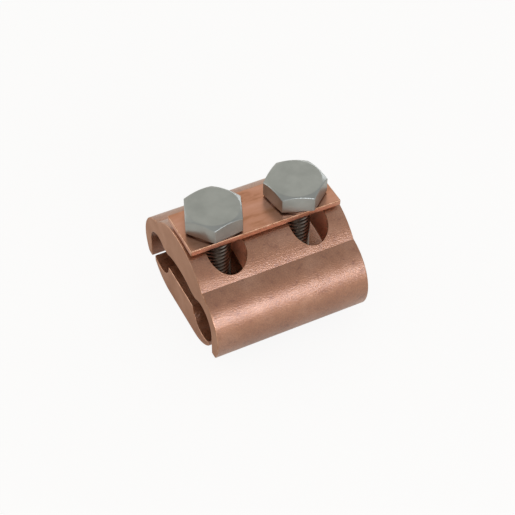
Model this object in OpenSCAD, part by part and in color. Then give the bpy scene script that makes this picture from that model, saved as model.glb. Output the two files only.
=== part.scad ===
// Two-bolt parallel connector: a copper clamp with two parallel grooves.
// X runs along the grooves, Y across them and Z up the bolts.
// The origin is the centre of the lower jaw's flat underside.

/* [Grooves] */
// Diameter of both grooves
groove_d = 13.6; // [12:0.1:14.5]
// Distance between the two grooves, axis to axis
groove_spacing = 31.5; // [31:0.1:36]

/* [Lower jaw] */
// Length of both jaws along the grooves
jaw_length = 51; // [48:1:80]
// Copper left below each groove of the lower jaw
seat_wall = 5.2; // [4.2:0.1:7]
// How far the flat top of the lower jaw lies below the groove axes
land_drop = 0.3; // [0:0.1:2]
// Gap between each tip of the lower jaw and the lip beside it
tip_gap = 2.5; // [1.8:0.1:3]
// Height of the tips' lower edges above the underside
tip_edge = 4.8; // [3:0.1:5.2]
// Radius of the round corner from each tip to the flat underside
corner_r = 14.5; // [12:0.1:16]

/* [Upper jaw] */
// Thickness of the lip outside each groove
lip_wall = 4.5; // [3:0.1:6]
// Height of the lips' flat ends above the underside of the lower jaw
lip_height = 4.3; // [2:0.1:6]
// Outer radius of the hump over each groove, which curls under at the lip
hump_r = 13.4; // [13:0.1:16]
// How far the humps' centres lie below the groove axes
hump_drop = 0.5; // [0:0.1:2]
// Distance between the two creases where the round back meets the humps
crease_spacing = 33; // [32:0.1:36]
// Radius of the round back, on which the jaw rocks under the plate
back_r = 21.5; // [20:0.5:36]
// Height above the groove axes of the nibs inside the grooves
nib_rise = 5.5; // [4:0.1:5.8]
// Rise of the arch between the two nibs
arch_rise = 1.8; // [1:0.1:3]
// Half the width of the arch between the two nibs
arch_half_w = 9; // [7:0.1:10]

/* [Slots] */
// Gap on each side of a bolt in its slot
slot_gap = 1; // [0.5:0.1:1.5]
// Length of a slot across the jaw
slot_length = 29.9; // [22:0.1:32]

/* [Pressure plate] */
// Width of the pressure plate
plate_w = 17; // [16:0.5:22]
// Thickness of the pressure plate
plate_t = 2; // [1.5:0.1:4]
// How far the plate's ends lie inside the jaws' ends
plate_inset = 0.6; // [0:0.1:1.5]
// Gap around a bolt in its hole in the plate
plate_hole_gap = 0.5; // [0.3:0.1:1]

/* [Bolts] */
// Nominal thread diameter
bolt_d = 10; // [8:1:12]
// Length of the bolt below its head
bolt_length = 30; // [28:1:32]
// Distance between the two bolts
bolt_spacing = 27.3; // [24:0.1:29]
// Head width across its flats
head_af = 17; // [15:1:18]
// Head height, with its washer face
head_h = 6.4; // [5:0.1:8]
// Thickness of the washer face below the head
washer_face_t = 0.5; // [0.3:0.1:0.8]
// Turn of the left head: the angle of one corner from X
left_turn = 8; // [-30:0.5:30]
// Turn of the right head: the angle of one corner from X
right_turn = -21; // [-30:0.5:30]

/* [Fits] */
// Gap between the jaw's back and the pressure plate
back_gap = 0.1; // [0.05:0.05:0.3]
// Gap between the bolt heads and the pressure plate
head_gap = 0.05; // [0.02:0.01:0.2]
// Gap around a bolt in its tapped hole
thread_gap = 0.05; // [0.02:0.01:0.1]

/* [Hidden] */
$fn = 96;
COPPER = [0.72, 0.47, 0.36];
PLATE_COPPER = [0.80, 0.52, 0.40];
STAINLESS = [0.62, 0.63, 0.62];

// Section heights and half widths
groove_r = groove_d / 2;
groove_y = groove_spacing / 2;
groove_z = seat_wall + groove_r;
lip_in = groove_y + groove_r;
lip_out = lip_in + lip_wall;
tip_y = lip_in - tip_gap;
corner_y = tip_y - sqrt(pow(corner_r, 2) - pow(corner_r - tip_edge, 2));
land_z = groove_z - land_drop;
hump_y = lip_out - hump_r;
hump_z = groove_z - hump_drop;
nib_z = groove_z + nib_rise;
crease_y = crease_spacing / 2;
crease_z = hump_z + sqrt(pow(hump_r, 2) - pow(crease_y - hump_y, 2));

// Round back: a circle through both creases
back_z = crease_z - sqrt(pow(back_r, 2) - pow(crease_y, 2));
back_top = back_z + back_r;

// Arch between the nibs: a circle through both nibs and the crown
arch_r = (pow(arch_half_w, 2) + pow(arch_rise, 2)) / (2 * arch_rise);
arch_z = nib_z + arch_rise - arch_r;

// Stack above the back
plate_z = back_top + back_gap;
head_z = plate_z + plate_t + head_gap;
bolt_x = bolt_spacing / 2;

// Bolt details
head_corner_r = head_af / 2 / cos(30);
washer_face_r = 0.475 * head_af;
head_crown_r = 0.475 * head_af;
head_bevel = 30;
tip_bevel = 0.1 * bolt_d;

// Overshoot of the cutting shapes
cut = 1;
tall = 2 * head_z;

// Runs a section, drawn as Y and Z, along the whole jaw
module along_jaw() {
    rotate([90, 0, 90]) translate([0, 0, -jaw_length / 2]) linear_extrude(jaw_length) children();
}

// Puts a copy on each side of the middle of the section
module both_sides() {
    children();
    mirror([1, 0]) children();
}

// The two grooves, as full circles
module grooves() {
    both_sides() translate([groove_y, groove_z]) circle(groove_r);
}

module at_bolts() {
    for (side = [-1, 1]) translate([side * bolt_x, 0, 0]) children();
}

// What the round corner below a tip takes off the lower jaw
module corner() {
    difference() {
        translate([corner_y, -cut]) square([tip_y - corner_y + cut, corner_r + cut]);
        translate([corner_y, corner_r]) circle(corner_r);
    }
}

module lower_jaw_section() {
    difference() {
        translate([-tip_y, 0]) square([2 * tip_y, land_z]);
        both_sides() corner();
        grooves();
    }
}

module lower_jaw() {
    color(COPPER) difference() {
        along_jaw() lower_jaw_section();
        at_bolts() translate([0, 0, -cut])
            cylinder(r = bolt_d / 2 + thread_gap, h = land_z + 2 * cut);
    }
}

// Round top over a groove, which runs on round the outside of the lip to its flat end
module hump() {
    intersection() {
        translate([hump_y, hump_z]) circle(hump_r);
        translate([0, lip_height])
            square([lip_out + cut, hump_z - lip_height + hump_r + cut]);
    }
}

// Round back between the creases, run on past each crease into the hump there
module back() {
    foot_y = crease_y + cut;
    intersection() {
        translate([0, back_z]) circle(back_r);
        translate([-foot_y, groove_z]) square([2 * foot_y, back_top - groove_z + cut]);
    }
}

// Space below the jaw: the grooves, the arch and the way in between the lips
module jaw_space() {
    grooves();
    translate([-lip_in, -cut]) square([2 * lip_in, groove_z + cut]);
    translate([-groove_y, groove_z - cut]) square([2 * groove_y, nib_rise + cut]);
    intersection() {
        translate([0, arch_z]) circle(arch_r);
        translate([-groove_y, nib_z - cut]) square([2 * groove_y, arch_rise + 2 * cut]);
    }
}

module upper_jaw_section() {
    difference() {
        union() {
            back();
            both_sides() hump();
        }
        jaw_space();
    }
}

// Long hole that lets the jaw rock beside its bolt
module slot() {
    slot_w = bolt_d + 2 * slot_gap;
    run = slot_length - slot_w;
    translate([-slot_w / 2, -run / 2, 0]) cube([slot_w, run, tall]);
    for (end = [-1, 1]) translate([0, end * run / 2, 0]) cylinder(d = slot_w, h = tall);
}

module upper_jaw() {
    color(COPPER) difference() {
        along_jaw() upper_jaw_section();
        at_bolts() slot();
    }
}

module pressure_plate() {
    plate_length = jaw_length - 2 * plate_inset;
    color(PLATE_COPPER) difference() {
        translate([-plate_length / 2, -plate_w / 2, plate_z]) cube([plate_length, plate_w, plate_t]);
        at_bolts() translate([0, 0, plate_z - cut])
            cylinder(r = bolt_d / 2 + plate_hole_gap, h = plate_t + 2 * cut);
    }
}

// Hexagon head on its washer face, with its corners turned off at the top
module bolt_head() {
    corner_drop = (head_corner_r - head_crown_r) * tan(head_bevel);
    cylinder(r = washer_face_r, h = washer_face_t);
    intersection() {
        translate([0, 0, washer_face_t])
            cylinder(r = head_corner_r, h = head_h - washer_face_t, $fn = 6);
        rotate_extrude() polygon([
            [0, 0], [head_corner_r, 0], [head_corner_r, head_h - corner_drop],
            [head_crown_r, head_h], [0, head_h]
        ]);
    }
}

// Threaded shank, drawn at the crests of its thread, with a bevelled tip
module bolt_shank() {
    rotate_extrude() polygon([
        [0, cut / 2], [bolt_d / 2, cut / 2], [bolt_d / 2, -bolt_length + tip_bevel],
        [bolt_d / 2 - tip_bevel, -bolt_length], [0, -bolt_length]
    ]);
}

module bolt(side, turn) {
    color(STAINLESS) translate([side * bolt_x, 0, head_z]) rotate(turn) {
        bolt_head();
        bolt_shank();
    }
}

module bolt_left() { bolt(-1, left_turn); }

module bolt_right() { bolt(1, right_turn); }

lower_jaw();
upper_jaw();
pressure_plate();
bolt_left();
bolt_right();
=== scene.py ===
# A two-bolt parallel connector in blasted copper, standing on a white studio table.
import math

import bpy
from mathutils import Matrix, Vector


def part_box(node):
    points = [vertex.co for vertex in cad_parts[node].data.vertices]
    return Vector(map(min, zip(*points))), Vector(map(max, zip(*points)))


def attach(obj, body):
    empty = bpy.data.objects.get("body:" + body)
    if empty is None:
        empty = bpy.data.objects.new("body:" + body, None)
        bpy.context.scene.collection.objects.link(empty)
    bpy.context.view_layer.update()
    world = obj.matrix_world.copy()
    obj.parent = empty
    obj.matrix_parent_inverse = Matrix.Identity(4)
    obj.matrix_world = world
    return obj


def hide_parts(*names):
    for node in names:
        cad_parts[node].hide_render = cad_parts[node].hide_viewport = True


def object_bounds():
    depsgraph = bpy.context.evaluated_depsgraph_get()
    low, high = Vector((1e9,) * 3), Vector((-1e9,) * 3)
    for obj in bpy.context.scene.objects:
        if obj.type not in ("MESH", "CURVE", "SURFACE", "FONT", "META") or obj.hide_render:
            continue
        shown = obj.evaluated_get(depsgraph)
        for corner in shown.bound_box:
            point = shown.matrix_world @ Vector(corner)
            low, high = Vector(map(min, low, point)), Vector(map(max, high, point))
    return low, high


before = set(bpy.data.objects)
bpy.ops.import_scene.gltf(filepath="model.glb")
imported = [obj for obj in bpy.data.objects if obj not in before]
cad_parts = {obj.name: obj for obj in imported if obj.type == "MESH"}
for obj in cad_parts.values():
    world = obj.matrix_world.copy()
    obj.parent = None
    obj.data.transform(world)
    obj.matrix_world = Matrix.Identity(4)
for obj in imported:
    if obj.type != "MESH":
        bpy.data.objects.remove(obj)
cad_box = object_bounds()

# Lower jaw: a sawn length of drawn copper bar with a round seat along each side.
# Its two holes are tapped, so the bolts need no nuts. It was blasted to a matt skin after sawing.
MM = 0.001
lower_low, lower_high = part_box("lower_jaw")
jaw_length = lower_high.x - lower_low.x
land_z = lower_high.z
tip_y = lower_high.y
tip_edge_z = 4.8 * MM
corner_r = 14.5 * MM
groove_r = 6.8 * MM
groove_y = 15.75 * MM
groove_z = 12 * MM
bolt_x = 13.65 * MM
tapped_r = 5.05 * MM
hole_sides = 96
overshoot = 1 * MM
arc_step = math.radians(3.3)
mirror_gap = 0.001 * MM
outline_gap = 0.002 * MM
cut_gap = 0.01 * MM
flat_angle = math.radians(0.5)
smooth_angle = math.radians(25)
edge_round = 0.25 * MM
edge_steps = 3


def start_outline(name, y, z):
    """Puts down the first corner of half an end outline, which is drawn in the YZ plane."""
    bpy.ops.object.select_all(action="DESELECT")
    bpy.ops.mesh.primitive_plane_add(size=MM)
    outline = bpy.context.object
    outline.name = name
    bpy.ops.object.mode_set(mode="EDIT")
    bpy.ops.mesh.select_all(action="SELECT")
    bpy.ops.mesh.merge(type="CENTER")
    bpy.ops.transform.translate(value=(0, y, z))
    return Vector((0, y, z))


def line_to(pen, y, z):
    """Draws a straight run of the outline from the pen to a new corner."""
    corner = Vector((0, y, z))
    bpy.ops.mesh.extrude_region_move(TRANSFORM_OT_translate={"value": corner - pen})
    return corner


def arc_to(pen, center_y, center_z, degrees):
    """Draws a round stretch of the outline, anticlockwise seen from +X where degrees is positive."""
    turn = math.radians(degrees)
    center = Vector((0, center_y, center_z))
    steps = max(2, round(abs(turn) / arc_step))
    bpy.ops.mesh.spin(steps=steps, angle=-turn, center=center, axis=(1, 0, 0))
    arm = pen - center
    across = arm.y * math.cos(turn) - arm.z * math.sin(turn)
    up = arm.y * math.sin(turn) + arm.z * math.cos(turn)
    return center + Vector((0, across, up))


def run_along_jaw():
    """Mirrors the half outline, fills it and draws the bar out to the jaw's length."""
    bpy.ops.object.mode_set(mode="OBJECT")
    bar = bpy.context.object
    half = bar.modifiers.new("other half", "MIRROR")
    half.use_axis = (False, True, False)
    half.merge_threshold = mirror_gap
    bpy.ops.object.modifier_apply(modifier=half.name)
    bpy.ops.object.mode_set(mode="EDIT")
    bpy.ops.mesh.select_all(action="SELECT")
    bpy.ops.mesh.remove_doubles(threshold=outline_gap)
    bpy.ops.transform.translate(value=(-jaw_length / 2, 0, 0))
    bpy.ops.mesh.edge_face_add()
    bpy.ops.mesh.extrude_region_move(TRANSFORM_OT_translate={"value": (jaw_length, 0, 0)})
    bpy.ops.mesh.select_all(action="SELECT")
    bpy.ops.mesh.normals_make_consistent(inside=False)
    bpy.ops.object.mode_set(mode="OBJECT")
    return bar


def shape_with(piece, tool, operation):
    """Cuts, joins or trims a piece with another solid, which is used up."""
    step = piece.modifiers.new("shape", "BOOLEAN")
    step.operation = operation
    step.solver = "EXACT"
    if tool.data.materials:
        step.material_mode = "TRANSFER"
    step.object = tool
    bpy.context.view_layer.objects.active = piece
    bpy.ops.object.modifier_apply(modifier=step.name)
    bpy.data.objects.remove(tool)


def drill(x, radius, low_z, high_z):
    """A round cutter that stands on the bolt line at x."""
    bpy.ops.object.select_all(action="DESELECT")
    bpy.ops.mesh.primitive_cylinder_add(
        vertices=hole_sides, radius=radius, depth=high_z - low_z, location=(x, 0, (low_z + high_z) / 2))
    bpy.ops.object.transform_apply(location=True, rotation=True, scale=True)
    return bpy.context.object


def break_edges(piece, radius, sharp_degrees):
    """Rounds every sharp edge in the piece's last material, and shades the round stretches smooth."""
    bpy.ops.object.select_all(action="DESELECT")
    piece.select_set(True)
    bpy.context.view_layer.objects.active = piece
    bpy.ops.object.mode_set(mode="EDIT")
    bpy.ops.mesh.select_all(action="SELECT")
    bpy.ops.mesh.remove_doubles(threshold=cut_gap)
    bpy.ops.mesh.dissolve_limited(angle_limit=flat_angle)
    bpy.ops.object.mode_set(mode="OBJECT")
    bevel = piece.modifiers.new("broken edges", "BEVEL")
    bevel.width = radius
    bevel.segments = edge_steps
    bevel.limit_method = "ANGLE"
    bevel.angle_limit = math.radians(sharp_degrees)
    bevel.use_clamp_overlap = False
    bevel.material = len(piece.data.materials) - 1
    bpy.ops.object.modifier_apply(modifier=bevel.name)
    bpy.ops.object.shade_smooth_by_angle(angle=smooth_angle)
    flats = piece.modifiers.new("flat faces stay flat", "WEIGHTED_NORMAL")
    flats.keep_sharp = True
    bpy.ops.object.modifier_apply(modifier=flats.name)


def sawn_ends(piece, material):
    """Gives the flat ends of a jaw the finish that the saw left."""
    facing_end = 0.99
    piece.data.materials.append(material)
    for face in piece.data.polygons:
        if abs(face.normal.x) > facing_end and abs(face.center.x) > jaw_length / 2 - cut_gap:
            face.material_index = len(piece.data.materials) - 1


def stands_for(piece, node, body):
    """Ties a finished piece to the solid that it dresses."""
    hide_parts(node)
    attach(piece, body)


def linear(code):
    """An sRGB hex colour as Blender's linear red, green, blue and alpha."""
    levels = [int(code[i:i + 2], 16) / 255 for i in (1, 3, 5)]
    return [v / 12.92 if v <= 0.04045 else ((v + 0.055) / 1.055) ** 2.4 for v in levels] + [1]


def new_material(name):
    """An empty material and its node tree."""
    material = bpy.data.materials.new(name)
    material.use_nodes = True
    material.node_tree.nodes.clear()
    return material, material.node_tree


def add_node(tree, kind, sockets, stops=(), **settings):
    """Adds a node with its settings. A socket takes a value, or a link as (node, output)."""
    node = tree.nodes.new(kind)
    for setting, value in settings.items():
        setattr(node, setting, value)
    for socket, value in sockets.items():
        if isinstance(value, tuple) and isinstance(value[0], bpy.types.Node):
            tree.links.new(value[0].outputs[value[1]], node.inputs[socket])
        else:
            node.inputs[socket].default_value = value
    for i, (position, code) in enumerate(stops):
        if i > 1:
            node.color_ramp.elements.new(position)
        node.color_ramp.elements[i].position = position
        node.color_ramp.elements[i].color = linear(code)
    return node


# Blasted copper: grit leaves a matt skin of tiny dents, which are duller at the bottom and painted
# darker there as painted shade.
# Copper's thin clear oxide gives it a pale sheen, and handling gives it clouds of tone and brown spots.
# The grit is drawn at 0.4 mm, coarser than it is, so that it shows in the render.
grit = 0.4 * MM
dent_depth = 0.09 * MM
spot = 2.6 * MM
cloud = 9 * MM
jaw_copper, tree = new_material("blasted_copper")
place = add_node(tree, "ShaderNodeTexCoord", {})
dents = add_node(tree, "ShaderNodeTexNoise",
                 {"Vector": (place, "Object"), "Scale": 1 / grit, "Detail": 2.0, "Roughness": 0.6})
spots = add_node(tree, "ShaderNodeTexNoise",
                 {"Vector": (place, "Object"), "Scale": 1 / spot, "Detail": 3.0, "Roughness": 0.6})
clouds = add_node(tree, "ShaderNodeTexNoise",
                  {"Vector": (place, "Object"), "Scale": 1 / cloud, "Detail": 4.0, "Roughness": 0.55})
tone = add_node(tree, "ShaderNodeValToRGB", {"Fac": (clouds, "Fac")},
                stops=[(0.3, "#A46C49"), (0.5, "#AE7856"), (0.7, "#B9886C")])
brown = add_node(tree, "ShaderNodeValToRGB", {"Fac": (spots, "Fac")},
                 stops=[(0.25, "#FFFFFF"), (0.58, "#F5EFEC"), (0.76, "#C6AB99")])
spotted = add_node(tree, "ShaderNodeMix",
                   {"Factor": 1.0, 6: (tone, "Color"), 7: (brown, "Color")},
                   data_type="RGBA", blend_type="MULTIPLY")
# Painted shade: the colour darkens towards the bottoms of the dents.
dent_shade = add_node(tree, "ShaderNodeValToRGB", {"Fac": (dents, "Fac")},
                  stops=[(0.35, "#E6E0DC"), (0.65, "#FFFFFF")])
colour = add_node(tree, "ShaderNodeMix",
                  {"Factor": 1.0, 6: (spotted, 2), 7: (dent_shade, "Color")},
                  data_type="RGBA", blend_type="MULTIPLY")
shine = add_node(tree, "ShaderNodeMapRange",
                 {"Value": (dents, "Fac"), "From Min": 0.3, "From Max": 0.7,
                  "To Min": 0.56, "To Max": 0.38})
bump = add_node(tree, "ShaderNodeBump",
                {"Height": (dents, "Fac"), "Strength": 1.0, "Distance": dent_depth})
skin = add_node(tree, "ShaderNodeBsdfPrincipled",
                {"Base Color": (colour, 2), "Roughness": (shine, "Result"), "Normal": (bump, "Normal"),
                 "Metallic": 1.0, "Coat Weight": 1.0, "Coat Roughness": 0.28, "Coat IOR": 1.9,
                 "Coat Normal": (bump, "Normal")})
add_node(tree, "ShaderNodeOutputMaterial", {"Surface": (skin, "BSDF")})

# Rubbed copper on the broken edges, where handling has polished the blasted skin a little brighter: its
# lighter colour is partly that wear and partly a painted highlight along the edges.
rub = 2 * MM
worn_edge_copper_and_highlight, tree = new_material("rubbed_copper_and_painted_highlight")
place = add_node(tree, "ShaderNodeTexCoord", {})
wear = add_node(tree, "ShaderNodeTexNoise",
                {"Vector": (place, "Object"), "Scale": 1 / rub, "Detail": 3.0})
# Partly painted highlight: the edge colour is set lighter than the blasted copper's.
tone = add_node(tree, "ShaderNodeValToRGB", {"Fac": (wear, "Fac")},
                stops=[(0.35, "#A87B60"), (0.65, "#C39A82")])
skin = add_node(tree, "ShaderNodeBsdfPrincipled",
                {"Base Color": (tone, "Color"), "Metallic": 1.0, "Roughness": 0.36})
add_node(tree, "ShaderNodeOutputMaterial", {"Surface": (skin, "BSDF")})

# Sawn copper on the ends: the blast has softened fine upright saw marks to a dull brown face.
# The marks are drawn 0.5 mm apart, coarser than a saw leaves them, so that they show.
saw_mark = 0.5 * MM
saw_depth = 0.06 * MM
saw_stretch = (1.0, 1.0, 0.06)
end_copper, tree = new_material("sawn_copper")
place = add_node(tree, "ShaderNodeTexCoord", {})
upright = add_node(tree, "ShaderNodeMapping", {"Vector": (place, "Object"), "Scale": saw_stretch})
marks = add_node(tree, "ShaderNodeTexNoise",
                 {"Vector": (upright, "Vector"), "Scale": 1 / saw_mark, "Detail": 2.0})
clouds = add_node(tree, "ShaderNodeTexNoise",
                  {"Vector": (place, "Object"), "Scale": 1 / cloud, "Detail": 4.0, "Roughness": 0.55})
tone = add_node(tree, "ShaderNodeValToRGB", {"Fac": (clouds, "Fac")},
                stops=[(0.3, "#A5785E"), (0.5, "#AF8369"), (0.7, "#BA9077")])
bump = add_node(tree, "ShaderNodeBump",
                {"Height": (marks, "Fac"), "Strength": 0.7, "Distance": saw_depth})
skin = add_node(tree, "ShaderNodeBsdfPrincipled",
                {"Base Color": (tone, "Color"), "Normal": (bump, "Normal"),
                 "Metallic": 1.0, "Roughness": 0.5})
add_node(tree, "ShaderNodeOutputMaterial", {"Surface": (skin, "BSDF")})

seat_edge_y = groove_y - math.sqrt(groove_r ** 2 - (groove_z - land_z) ** 2)
seat_start = math.degrees(math.atan2(land_z - groove_z, seat_edge_y - groove_y)) % 360
seat_end = 360 - math.degrees(math.acos((tip_y - groove_y) / groove_r))
corner_turn = math.degrees(math.acos(1 - tip_edge_z / corner_r))
corner_y = tip_y - corner_r * math.sin(math.radians(corner_turn))

pen = start_outline("lower_jaw_piece", 0, land_z)
pen = line_to(pen, seat_edge_y, land_z)
pen = arc_to(pen, groove_y, groove_z, seat_end - seat_start)
pen = line_to(pen, tip_y, tip_edge_z)
pen = arc_to(pen, corner_y, corner_r, -corner_turn)
line_to(pen, 0, 0)
lower_jaw = run_along_jaw()
for x in (-bolt_x, bolt_x):
    shape_with(lower_jaw, drill(x, tapped_r, -overshoot, land_z + overshoot), "DIFFERENCE")
lower_jaw.data.materials.append(jaw_copper)
lower_jaw.data.materials.append(worn_edge_copper_and_highlight)
break_edges(lower_jaw, edge_round, sharp_degrees=40)
sawn_ends(lower_jaw, end_copper)
stands_for(lower_jaw, "lower_jaw", "lower_jaw")

# Upper jaw: drawn copper bar with a round back, a hump over each groove and a lip outside it.
# Each bolt passes through a long milled slot, so the jaw can rock until both grooves grip alike.
upper_low, upper_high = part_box("upper_jaw")
lip_out = upper_high.y
lip_low = upper_low.z
lip_in = groove_y + groove_r
lip_corner_r = 0.9 * MM
hump_r = 13.4 * MM
hump_y = lip_out - hump_r
hump_z = 11.5 * MM
crease_y = 16.5 * MM
back_r = 21.5 * MM
back_top = upper_high.z
back_z = back_top - back_r
nib_z = 17.5 * MM
arch_half_w = 9 * MM
arch_rise = 1.8 * MM
slot_w = 12 * MM
slot_length = 29.9 * MM

# Milled copper on the slots' walls, out of the blast's reach: clean red metal, dull from the cutter,
# with its pale colour partly painted light that lifts the walls out of the slots' shade.
slot_copper_with_painted_light, tree = new_material("milled_copper_and_painted_light")
place = add_node(tree, "ShaderNodeTexCoord", {})
clouds = add_node(tree, "ShaderNodeTexNoise",
                  {"Vector": (place, "Object"), "Scale": 1 / cloud, "Detail": 4.0})
# Partly painted light: the walls' colour is set pale to lighten them in the slots' shade.
tone = add_node(tree, "ShaderNodeValToRGB", {"Fac": (clouds, "Fac")},
                stops=[(0.3, "#F2AE8C"), (0.7, "#F9BEA0")])
skin = add_node(tree, "ShaderNodeBsdfPrincipled",
                {"Base Color": (tone, "Color"), "Metallic": 1.0, "Roughness": 0.7})
add_node(tree, "ShaderNodeOutputMaterial", {"Surface": (skin, "BSDF")})

crease_z = back_z + math.sqrt(back_r ** 2 - crease_y ** 2)
back_turn = math.degrees(math.asin(crease_y / back_r))
hump_turn = math.degrees(math.atan2(crease_z - hump_z, crease_y - hump_y))
curl_turn = math.degrees(math.asin((hump_z - lip_low - lip_corner_r) / (hump_r - lip_corner_r)))
lip_corner_y = hump_y + (hump_r - lip_corner_r) * math.cos(math.radians(curl_turn))
nib_turn = 180 - math.degrees(math.asin((nib_z - groove_z) / groove_r))
arch_r = (arch_half_w ** 2 + arch_rise ** 2) / (2 * arch_rise)
arch_turn = math.degrees(math.asin(arch_half_w / arch_r))

pen = start_outline("upper_jaw_piece", 0, back_top)
pen = arc_to(pen, 0, back_z, -back_turn)
pen = arc_to(pen, hump_y, hump_z, -hump_turn - curl_turn)
pen = arc_to(pen, lip_corner_y, lip_low + lip_corner_r, curl_turn - 90)
pen = line_to(pen, lip_in, lip_low)
pen = line_to(pen, lip_in, groove_z)
pen = arc_to(pen, groove_y, groove_z, nib_turn)
pen = line_to(pen, arch_half_w, nib_z)
arc_to(pen, 0, nib_z + arch_rise - arch_r, arch_turn)
upper_jaw = run_along_jaw()

# A round cutter pulled apart at its middle makes a slot. Corners on the middle line go to the far half.
slot_stretch = (slot_length - slot_w) / 2
middle_gap = 0.001 * MM
for x in (-bolt_x, bolt_x):
    cutter = drill(x, slot_w / 2, 0, back_top + overshoot)
    for corner in cutter.data.vertices:
        corner.co.y += math.copysign(slot_stretch, corner.co.y + middle_gap)
    shape_with(upper_jaw, cutter, "DIFFERENCE")
upper_jaw.data.materials.append(jaw_copper)
upper_jaw.data.materials.append(worn_edge_copper_and_highlight)
break_edges(upper_jaw, edge_round, sharp_degrees=45)
sawn_ends(upper_jaw, end_copper)

upper_jaw.data.materials.append(slot_copper_with_painted_light)
wall_gap = 0.1 * MM
wall_lean = 0.01
for face in upper_jaw.data.polygons:
    beside_bolt = abs(abs(face.center.x) - bolt_x) < slot_w / 2 + wall_gap
    within_slot = abs(face.center.y) < slot_length / 2
    if beside_bolt and within_slot and abs(face.normal.z) < wall_lean:
        face.material_index = len(upper_jaw.data.materials) - 1
stands_for(upper_jaw, "upper_jaw", "upper_jaw")

# Pressure plate: a cropped length of rolled copper strip, laid flat on the upper jaw's back.
# It spreads the pull of the two bolts, which pass through a plain hole each.
plate_low, plate_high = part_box("pressure_plate")
plate_hole_r = 5.5 * MM
plate_edge_round = 0.35 * MM

# Rolled copper: smooth and pink, so it mirrors the heads dimly, with faint streaks along the strip.
# Damp and handling have left brown stains on it.
stain = 4 * MM
streak = 0.5 * MM
streak_depth = 0.03 * MM
streak_stretch = (0.35, 1.0, 1.0)
plate_copper, tree = new_material("rolled_copper")
place = add_node(tree, "ShaderNodeTexCoord", {})
along = add_node(tree, "ShaderNodeMapping", {"Vector": (place, "Object"), "Scale": streak_stretch})
stains = add_node(tree, "ShaderNodeTexNoise",
                  {"Vector": (along, "Vector"), "Scale": 1 / stain, "Detail": 5.0, "Roughness": 0.62})
streaks = add_node(tree, "ShaderNodeTexNoise",
                   {"Vector": (along, "Vector"), "Scale": 1 / streak, "Detail": 2.0})
tone = add_node(tree, "ShaderNodeValToRGB", {"Fac": (stains, "Fac")},
                stops=[(0.3, "#A87557"), (0.45, "#C59077"), (0.7, "#D19F8B")])
bump = add_node(tree, "ShaderNodeBump",
                {"Height": (streaks, "Fac"), "Strength": 0.2, "Distance": streak_depth})
skin = add_node(tree, "ShaderNodeBsdfPrincipled",
                {"Base Color": (tone, "Color"), "Normal": (bump, "Normal"),
                 "Metallic": 1.0, "Roughness": 0.3})
add_node(tree, "ShaderNodeOutputMaterial", {"Surface": (skin, "BSDF")})

bpy.ops.object.select_all(action="DESELECT")
bpy.ops.mesh.primitive_cube_add(
    size=1, location=(plate_low + plate_high) / 2, scale=plate_high - plate_low)
pressure_plate = bpy.context.object
pressure_plate.name = "pressure_plate_piece"
bpy.ops.object.transform_apply(location=True, rotation=True, scale=True)
for x in (-bolt_x, bolt_x):
    cutter = drill(x, plate_hole_r, plate_low.z - overshoot, plate_high.z + overshoot)
    shape_with(pressure_plate, cutter, "DIFFERENCE")
pressure_plate.data.materials.append(plate_copper)
pressure_plate.data.materials.append(worn_edge_copper_and_highlight)
break_edges(pressure_plate, plate_edge_round, sharp_degrees=40)
stands_for(pressure_plate, "pressure_plate", "plate")

# Bolts: stainless hexagon bolts, cold forged, with a washer face and a thread rolled up to the head.
# They hang in the plate's holes and screw into the lower jaw.
bolt_d = 10 * MM
bolt_length = 30 * MM
pitch = 1.5 * MM
thread_depth = 0.92 * MM
crest_half = 1 / 16
flank_width = 5 / 16
neck = 2 * MM
tip_bevel = 1 * MM
rings = 240
shank_sides = 64
head_af = 17 * MM
hexagon_r = head_af / 2 / math.cos(math.radians(30))
washer_face_t = 0.5 * MM
crown_r = 0.475 * head_af
head_bevel = math.radians(30)
bevel_sides = 128
head_edge_round = 0.18 * MM
head_gap = 0.05 * MM
head_low_z = plate_high.z + head_gap
head_high_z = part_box("bolt_left")[1].z
head_h = head_high_z - head_low_z
overlap = 0.2 * MM
left_turn = 8
right_turn = -21

# Satin stainless steel: forged, tumbled and passivated to an even mid grey with a soft gloss.
# The tumbling marks are drawn at 0.6 mm, coarser than they are, so that they show.
tumble = 0.6 * MM
tumble_depth = 0.03 * MM
haze = 6 * MM
bolt_steel, tree = new_material("satin_stainless")
place = add_node(tree, "ShaderNodeTexCoord", {})
marks = add_node(tree, "ShaderNodeTexNoise",
                 {"Vector": (place, "Object"), "Scale": 1 / tumble, "Detail": 3.0})
hazes = add_node(tree, "ShaderNodeTexNoise",
                 {"Vector": (place, "Object"), "Scale": 1 / haze, "Detail": 4.0})
tone = add_node(tree, "ShaderNodeValToRGB", {"Fac": (hazes, "Fac")},
                stops=[(0.35, "#9BA09F"), (0.65, "#A7ACAB")])
bump = add_node(tree, "ShaderNodeBump",
                {"Height": (marks, "Fac"), "Strength": 0.12, "Distance": tumble_depth})
skin = add_node(tree, "ShaderNodeBsdfPrincipled",
                {"Base Color": (tone, "Color"), "Normal": (bump, "Normal"),
                 "Metallic": 1.0, "Roughness": 0.36})
add_node(tree, "ShaderNodeOutputMaterial", {"Surface": (skin, "BSDF")})

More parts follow.
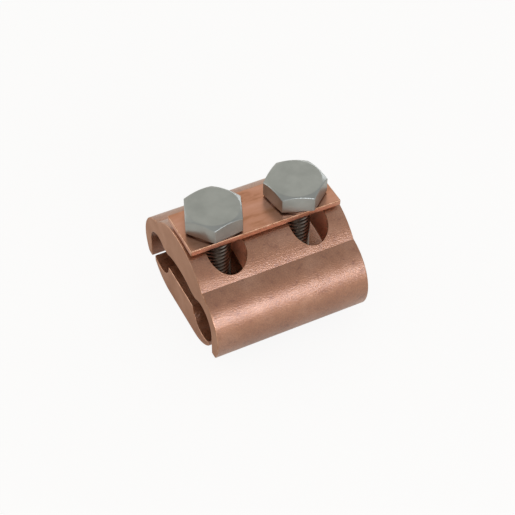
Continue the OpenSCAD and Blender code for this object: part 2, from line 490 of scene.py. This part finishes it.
# Thread: stainless, painted dark brown down in the grooves and a dull grey on the crests, which keep a
# dull glint.
# This is painted shade, for the depth of the grooves and the shade in the slots.
mottle_size = 1.5 * MM
groove_shade_level = bolt_d / 2 - 0.6 * thread_depth
shaded_thread_steel, tree = new_material("thread_stainless_painted_shade")
place = add_node(tree, "ShaderNodeTexCoord", {})
along = add_node(tree, "ShaderNodeSeparateXYZ", {"Vector": (place, "Object")})
beside = add_node(tree, "ShaderNodeMath", {0: (along, "X")}, operation="ABSOLUTE")
beside = add_node(tree, "ShaderNodeMath", {0: (beside, "Value"), 1: bolt_x}, operation="SUBTRACT")
out = add_node(tree, "ShaderNodeCombineXYZ", {"X": (beside, "Value"), "Y": (along, "Y")})
out = add_node(tree, "ShaderNodeVectorMath", {0: (out, "Vector")}, operation="LENGTH")
crest_share = add_node(tree, "ShaderNodeMapRange",
                 {"Value": (out, "Value"), "From Min": groove_shade_level, "From Max": bolt_d / 2})
mottle = add_node(tree, "ShaderNodeTexNoise",
               {"Vector": (place, "Object"), "Scale": 1 / mottle_size, "Detail": 3.0})
# Painted shade: dark brown for the grooves, mottled at random.
groove_shade = add_node(tree, "ShaderNodeValToRGB", {"Fac": (mottle, "Fac")},
                stops=[(0.35, "#4A3F37"), (0.65, "#5C5148")])
tone = add_node(tree, "ShaderNodeMix",
                {"Factor": (crest_share, "Result"), 6: (groove_shade, "Color"), 7: linear("#9A938B")},
                data_type="RGBA")
skin = add_node(tree, "ShaderNodeBsdfPrincipled",
                {"Base Color": (tone, 2), "Metallic": 1.0, "Roughness": 0.34})
add_node(tree, "ShaderNodeOutputMaterial", {"Surface": (skin, "BSDF")})


def thread_radius(turn, height):
    """Radius of the rolled thread at an angle and a height above the bolt's tip."""
    phase = (height / pitch - turn / (2 * math.pi)) % 1
    flank = min(max((abs(phase - 0.5) - crest_half) / flank_width, 0), 1)
    radius = bolt_d / 2 - thread_depth * flank
    if height > bolt_length - neck:
        radius = bolt_d / 2 - thread_depth / 2
    return min(radius, bolt_d / 2 - tip_bevel + height)


def rolled_shank():
    """A cylinder cut into rings an eighth of a millimetre high, pressed in to the thread's form."""
    bpy.ops.object.select_all(action="DESELECT")
    bpy.ops.mesh.primitive_cylinder_add(vertices=shank_sides, radius=bolt_d / 2, depth=bolt_length)
    shank = bpy.context.object
    bpy.ops.object.mode_set(mode="EDIT")
    bpy.ops.mesh.select_mode(type="EDGE")
    bpy.ops.mesh.select_all(action="DESELECT")
    bpy.ops.object.mode_set(mode="OBJECT")
    for edge in shank.data.edges:
        low, high = (shank.data.vertices[i].co.z for i in edge.vertices)
        edge.select = low * high < 0
    bpy.ops.object.mode_set(mode="EDIT")
    bpy.ops.mesh.subdivide(number_cuts=rings)
    bpy.ops.object.mode_set(mode="OBJECT")
    for corner in shank.data.vertices:
        turn = math.atan2(corner.co.y, corner.co.x)
        radius = thread_radius(turn, corner.co.z + bolt_length / 2)
        corner.co = (radius * math.cos(turn), radius * math.sin(turn), corner.co.z - bolt_length / 2)
    return shank


def forged_bolt(name, x, turn_degrees):
    """One bolt: a bevelled hexagon on its washer face, with the shank below it."""
    # A new six-sided cylinder has its corners 30 degrees away from X.
    corner_from_x = 30
    bpy.ops.object.select_all(action="DESELECT")
    bpy.ops.mesh.primitive_cylinder_add(
        vertices=6, radius=hexagon_r, depth=head_h - washer_face_t,
        location=(0, 0, (head_h + washer_face_t) / 2),
        rotation=(0, 0, math.radians(turn_degrees + corner_from_x)))
    bpy.ops.object.transform_apply(location=True, rotation=True, scale=True)
    bolt = bpy.context.object
    bolt.name = name
    spread = head_h / math.tan(head_bevel)
    bpy.ops.mesh.primitive_cone_add(
        vertices=bevel_sides, radius1=crown_r + spread, radius2=crown_r, depth=head_h,
        location=(0, 0, head_h / 2))
    bpy.ops.object.transform_apply(location=True, rotation=True, scale=True)
    shape_with(bolt, bpy.context.object, "INTERSECT")
    shape_with(bolt, drill(0, crown_r, 0, washer_face_t + overlap), "UNION")
    bolt.data.materials.append(bolt_steel)
    break_edges(bolt, head_edge_round, sharp_degrees=28)
    shank = rolled_shank()
    for corner in shank.data.vertices:
        corner.co.z += overlap
    shank.data.materials.append(shaded_thread_steel)
    shape_with(bolt, shank, "UNION")
    for corner in bolt.data.vertices:
        corner.co += Vector((x, 0, head_low_z))
    bpy.ops.object.shade_smooth_by_angle(angle=smooth_angle)
    return bolt


bolt_left = forged_bolt("bolt_left_piece", -bolt_x, left_turn)
bolt_right = forged_bolt("bolt_right_piece", bolt_x, right_turn)
stands_for(bolt_left, "bolt_left", "bolt_left")
stands_for(bolt_right, "bolt_right", "bolt_right")

# Table: a wide sheet of white paper under the part, which takes the part's shadow.
# It also glows: nearly all of what the camera sees of it is even white, and a little of what the
# metal mirrors.
table_size = 4.0
table_gap = 0.02 * MM
seen_glow = 0.9
mirrored_glow = 0.2
bpy.ops.object.select_all(action="DESELECT")
bpy.ops.mesh.primitive_plane_add(size=table_size, location=(0, 0, cad_box[0][2] - table_gap))
table = bpy.context.object
table.name = "table"
white_sheet, tree = new_material("white_sheet")
rays = add_node(tree, "ShaderNodeLightPath", {})
mirrored = add_node(tree, "ShaderNodeMath",
                    {0: (rays, "Is Glossy Ray"), 1: (rays, "Is Transmission Ray")}, operation="MAXIMUM")
mirrored = add_node(tree, "ShaderNodeMath",
                    {0: (mirrored, "Value"), 1: mirrored_glow}, operation="MULTIPLY")
seen = add_node(tree, "ShaderNodeMath", {0: (rays, "Is Camera Ray"), 1: seen_glow}, operation="MULTIPLY")
share = add_node(tree, "ShaderNodeMath",
                 {0: (seen, "Value"), 1: (mirrored, "Value")}, operation="MAXIMUM")
paper = add_node(tree, "ShaderNodeBsdfDiffuse", {"Color": linear("#EFE9E0")})
glow = add_node(tree, "ShaderNodeEmission", {"Color": linear("#FFFFFF"), "Strength": 1.0})
sheet = add_node(tree, "ShaderNodeMixShader",
                 {"Fac": (share, "Value"), 1: (paper, "BSDF"), 2: (glow, "Emission")})
add_node(tree, "ShaderNodeOutputMaterial", {"Surface": (sheet, "Shader")})
table.data.materials.append(white_sheet)

# Studio: pale walls that brighten toward the back, one soft box low in front and two behind.
# The front box lies where the near hump mirrors it to the camera. The others are weak, and give
# the far side a sheen.
world = bpy.data.worlds.new("studio")
world.use_nodes = True
bpy.context.scene.world = world
room = world.node_tree
room.nodes.clear()
toward = add_node(room, "ShaderNodeTexCoord", {})
depth = add_node(room, "ShaderNodeSeparateXYZ", {"Vector": (toward, "Generated")})
walls = add_node(room, "ShaderNodeValToRGB", {"Fac": (depth, "Y")},
                 stops=[(0.0, "#CCC9C5"), (0.6, "#E9E4DA")])
light = add_node(room, "ShaderNodeBackground", {"Color": (walls, "Color"), "Strength": 1.0})
add_node(room, "ShaderNodeOutputWorld", {"Surface": (light, "Background")})

part_middle = Vector((0, 0, 0.02))
for name, place, width, height, energy in (
        ("front_box", Vector((0.06, -0.73, 0.29)), 0.56, 0.19, 2.5),
        ("left_box", Vector((-0.58, 0.5, 0.2)), 0.5, 0.22, 0.75),
        ("right_box", Vector((0.58, 0.5, 0.2)), 0.5, 0.22, 0.75)):
    bpy.ops.object.light_add(type="AREA", location=place)
    soft_box = bpy.context.object
    soft_box.name = name
    soft_box.data.shape = "RECTANGLE"
    soft_box.data.size = width
    soft_box.data.size_y = height
    soft_box.data.energy = energy
    soft_box.data.color = linear("#F8F9FF")[:3]
    soft_box.rotation_euler = (part_middle - place).to_track_quat("-Z", "Y").to_euler()

# Camera: a long lens at the photograph's viewing angle, rolled very slightly.
# Its place was fitted to the bolt heads, the plate and the jaws' edges together.
view_azimuth = math.radians(-26.63)
view_elevation = math.radians(46.4)
view_roll = math.radians(-0.27)
view_distance = 0.3924
view_aim = Vector((-0.00404, -0.01012, 0.02412))
bpy.ops.object.camera_add()
camera = bpy.context.object
toward_camera = Vector((math.sin(view_azimuth) * math.cos(view_elevation),
                        -math.cos(view_azimuth) * math.cos(view_elevation),
                        math.sin(view_elevation)))
camera.location = view_aim + view_distance * toward_camera
camera.rotation_euler = (-toward_camera).to_track_quat("-Z", "Y").to_euler()
camera.rotation_euler.rotate_axis("Z", -view_roll)
camera.data.lens = 91.31
camera.data.sensor_width = 36
bpy.context.scene.camera = camera
bpy.context.scene.view_settings.view_transform = "Standard"
